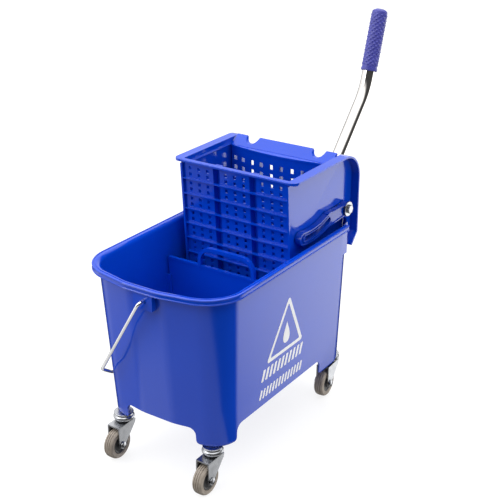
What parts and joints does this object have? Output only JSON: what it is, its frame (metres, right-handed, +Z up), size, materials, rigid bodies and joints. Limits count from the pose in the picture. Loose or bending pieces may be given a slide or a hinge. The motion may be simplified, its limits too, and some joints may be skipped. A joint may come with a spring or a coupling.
{
  "type": "mop bucket with wringer",
  "caption": "Rectangular mop bucket on swivel casters with a lift-out lever press wringer, a divider and a wire bail.",
  "frame": {"origin": "on the floor, at the centre of the whole object's bounding box seen from above", "axes": "+Z up, +X to the right of someone facing the bucket's bowed front, +Y towards the wringer lever"},
  "size_m": [0.268, 0.621, 0.6515],
  "materials": {
    "bucket_blue": "glossy moulded polypropylene, royal blue",
    "wringer_blue": "glossy moulded polypropylene, royal blue",
    "arm_blue": "glossy moulded plastic, navy blue",
    "bright_wire": "bright plated wire",
    "bright_tube": "bright polished tube",
    "grip_rubber": "satin violet-blue dimpled rubber",
    "zinc_steel": "bright zinc plate",
    "tyre_rubber": "matt grey-brown rubber",
    "hub_plastic": "dark grey plastic"
  },
  "bodies": {
    "bucket": {"bucket_shell": "bucket_blue", "front_left_stem": "zinc_steel", "front_left_swivel_cup": "zinc_steel", "front_right_stem": "zinc_steel", "front_right_swivel_cup": "zinc_steel", "rear_left_stem": "zinc_steel", "rear_left_swivel_cup": "zinc_steel", "rear_right_stem": "zinc_steel", "rear_right_swivel_cup": "zinc_steel"},
    "wringer": {"wringer_frame": "wringer_blue", "hinge_rod": "zinc_steel", "right_guide_pin": "zinc_steel", "left_guide_pin": "zinc_steel"},
    "press": {"press_plate": "wringer_blue", "pivot_shaft": "zinc_steel", "lever_socket": "arm_blue", "lever_tube": "bright_tube", "lever_grip": "grip_rubber", "right_end_washer": "zinc_steel", "left_end_washer": "zinc_steel", "right_end_bolt": "zinc_steel", "left_end_bolt": "zinc_steel"},
    "right_arm": {"right_guide_arm": "arm_blue"},
    "left_arm": {"left_guide_arm": "arm_blue"},
    "bail": {"bail_handle": "bright_wire"},
    "divider": {"divider": "bucket_blue"},
    "front_left_swivel": {"front_left_fork": "zinc_steel", "front_left_axle": "zinc_steel"},
    "front_left_wheel": {"front_left_tyre": "tyre_rubber", "front_left_hub": "hub_plastic"},
    "front_right_swivel": {"front_right_fork": "zinc_steel", "front_right_axle": "zinc_steel"},
    "front_right_wheel": {"front_right_tyre": "tyre_rubber", "front_right_hub": "hub_plastic"},
    "rear_left_swivel": {"rear_left_fork": "zinc_steel", "rear_left_axle": "zinc_steel"},
    "rear_left_wheel": {"rear_left_tyre": "tyre_rubber", "rear_left_hub": "hub_plastic"},
    "rear_right_swivel": {"rear_right_fork": "zinc_steel", "rear_right_axle": "zinc_steel"},
    "rear_right_wheel": {"rear_right_tyre": "tyre_rubber", "rear_right_hub": "hub_plastic"}
  },
  "joints": [
    {"name": "wringer_lift", "type": "slide", "parent": "bucket", "child": "wringer", "axis": [0, 0, 1], "range_m": [0, 0.16]},
    {"name": "press_swing", "type": "hinge", "parent": "wringer", "child": "press", "pos_m": [0, 0.0836, 0.2], "axis": [1, 0, 0], "range_deg": [0, 27.5]},
    {"name": "right_arm_swing", "type": "hinge", "parent": "press", "child": "right_arm", "pos_m": [0.1096, 0.1056, 0.354], "axis": [1, 0, 0], "range_deg": [-27.5, 0]},
    {"name": "left_arm_swing", "type": "hinge", "parent": "press", "child": "left_arm", "pos_m": [-0.1096, 0.1056, 0.354], "axis": [1, 0, 0], "range_deg": [-27.5, 0]},
    {"name": "bail_swing", "type": "hinge", "parent": "bucket", "child": "bail", "pos_m": [0.006, -0.0744, 0.317], "axis": [0, -1, 0], "range_deg": [-146.2, 0]},
    {"name": "divider_lift", "type": "slide", "parent": "bucket", "child": "divider", "axis": [0, 0, 1], "range_m": [0, 0.145]},
    {"name": "front_left_swivel_turn", "type": "hinge", "parent": "bucket", "child": "front_left_swivel", "pos_m": [-0.088, -0.2464, 0.06], "axis": [0, 0, 1], "continuous": true},
    {"name": "front_left_wheel_roll", "type": "hinge", "parent": "front_left_swivel", "child": "front_left_wheel", "pos_m": [-0.088, -0.2664, 0.025], "axis": [1, 0, 0], "continuous": true},
    {"name": "front_right_swivel_turn", "type": "hinge", "parent": "bucket", "child": "front_right_swivel", "pos_m": [0.088, -0.2464, 0.06], "axis": [0, 0, 1], "continuous": true},
    {"name": "front_right_wheel_roll", "type": "hinge", "parent": "front_right_swivel", "child": "front_right_wheel", "pos_m": [0.088, -0.2664, 0.025], "axis": [1, 0, 0], "continuous": true},
    {"name": "rear_left_swivel_turn", "type": "hinge", "parent": "bucket", "child": "rear_left_swivel", "pos_m": [-0.088, 0.1086, 0.06], "axis": [0, 0, 1], "continuous": true},
    {"name": "rear_left_wheel_roll", "type": "hinge", "parent": "rear_left_swivel", "child": "rear_left_wheel", "pos_m": [-0.0866, 0.08865, 0.025], "axis": [0.9976, 0.0698, 0], "continuous": true},
    {"name": "rear_right_swivel_turn", "type": "hinge", "parent": "bucket", "child": "rear_right_swivel", "pos_m": [0.088, 0.1086, 0.06], "axis": [0, 0, 1], "continuous": true},
    {"name": "rear_right_wheel_roll", "type": "hinge", "parent": "rear_right_swivel", "child": "rear_right_wheel", "pos_m": [0.0894, 0.08865, 0.025], "axis": [0.9976, 0.0698, 0], "continuous": true}
  ],
  "couplings": [
    {"joint": "right_arm_swing", "follows": "press_swing", "ratio": -1},
    {"joint": "left_arm_swing", "follows": "press_swing", "ratio": -1}
  ]
}
